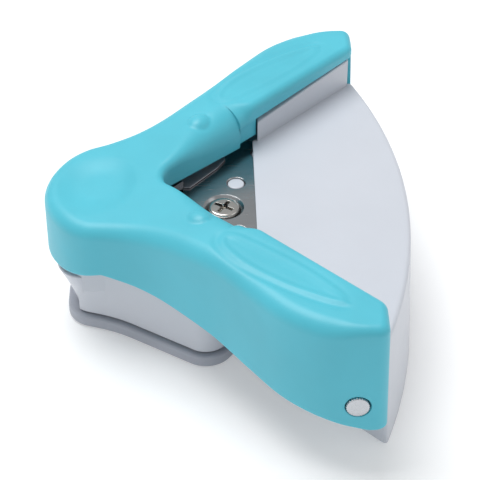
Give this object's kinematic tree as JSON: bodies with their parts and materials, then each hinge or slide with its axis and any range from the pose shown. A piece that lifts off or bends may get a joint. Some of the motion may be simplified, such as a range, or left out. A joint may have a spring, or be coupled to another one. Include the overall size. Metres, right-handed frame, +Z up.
{
  "type": "corner rounder",
  "caption": "Hand-pressed corner rounder: V-shaped lever over a fan-shaped paper tray with right-angle fences, a radius punch and a removable chip cap.",
  "frame": {"origin": "on the table, straight below the corner of a sheet pushed home between the fences, on the underside of the chip cap", "axes": "+X from the lever's thumb end to the fan-shaped tray, +Y towards the far arm (the object is symmetric about Y = 0), +Z up"},
  "size_m": [0.0717, 0.0972, 0.0345],
  "materials": {
    "turquoise_plastic": "satin moulded ABS",
    "white_plastic": "satin moulded ABS",
    "gray_plastic": "soft matte polyethylene",
    "natural_plastic": "unpainted acetal",
    "plate_steel": "rolled sheet, satin",
    "tool_steel": "hardened and ground",
    "spring_steel": "bright drawn wire",
    "pin_steel": "bright turned, knurled rim",
    "screw_nickel": "nickel plated"
  },
  "bodies": {
    "base": {"base_frame": "white_plastic", "fan_tray": "white_plastic", "die_plate": "plate_steel", "die_screw": "screw_nickel", "guide_strip_far": "plate_steel", "guide_strip_near": "plate_steel", "guide_screw_far": "screw_nickel", "guide_screw_near": "screw_nickel", "tray_screw_far": "screw_nickel", "tray_screw_near": "screw_nickel", "hinge_pin_far": "pin_steel", "hinge_pin_near": "pin_steel", "return_spring_far": "spring_steel", "return_spring_near": "spring_steel"},
    "lever": {"lever_shell": "turquoise_plastic", "press_plate": "plate_steel", "press_screw_far": "screw_nickel", "press_screw_near": "screw_nickel"},
    "punch": {"punch_blade": "tool_steel", "punch_carrier": "natural_plastic", "blade_screw_far": "screw_nickel", "blade_screw_near": "screw_nickel", "stop_washer": "plate_steel", "stop_screw": "screw_nickel"},
    "cap": {"chip_cap": "gray_plastic"}
  },
  "joints": [
    {"name": "lever_hinge", "type": "hinge", "parent": "base", "child": "lever", "pos_m": [0.036, 0, 0.0165], "axis": [0, -1, 0], "range_deg": [0, 3.8]},
    {"name": "punch_slide", "type": "slide", "parent": "base", "child": "punch", "axis": [0, 0, -1], "range_m": [0, 0.0027], "stiffness_N_per_m": 800, "springref_m": -0.003, "deforming": ["return_spring_far", "return_spring_near"]},
    {"name": "cap_slide", "type": "slide", "parent": "base", "child": "cap", "axis": [0, 0, -1], "range_m": [0, 0.02]}
  ],
  "couplings": [
    {"joint": "punch_slide", "follows": "lever_hinge", "m_per_rad": 0.04}
  ]
}
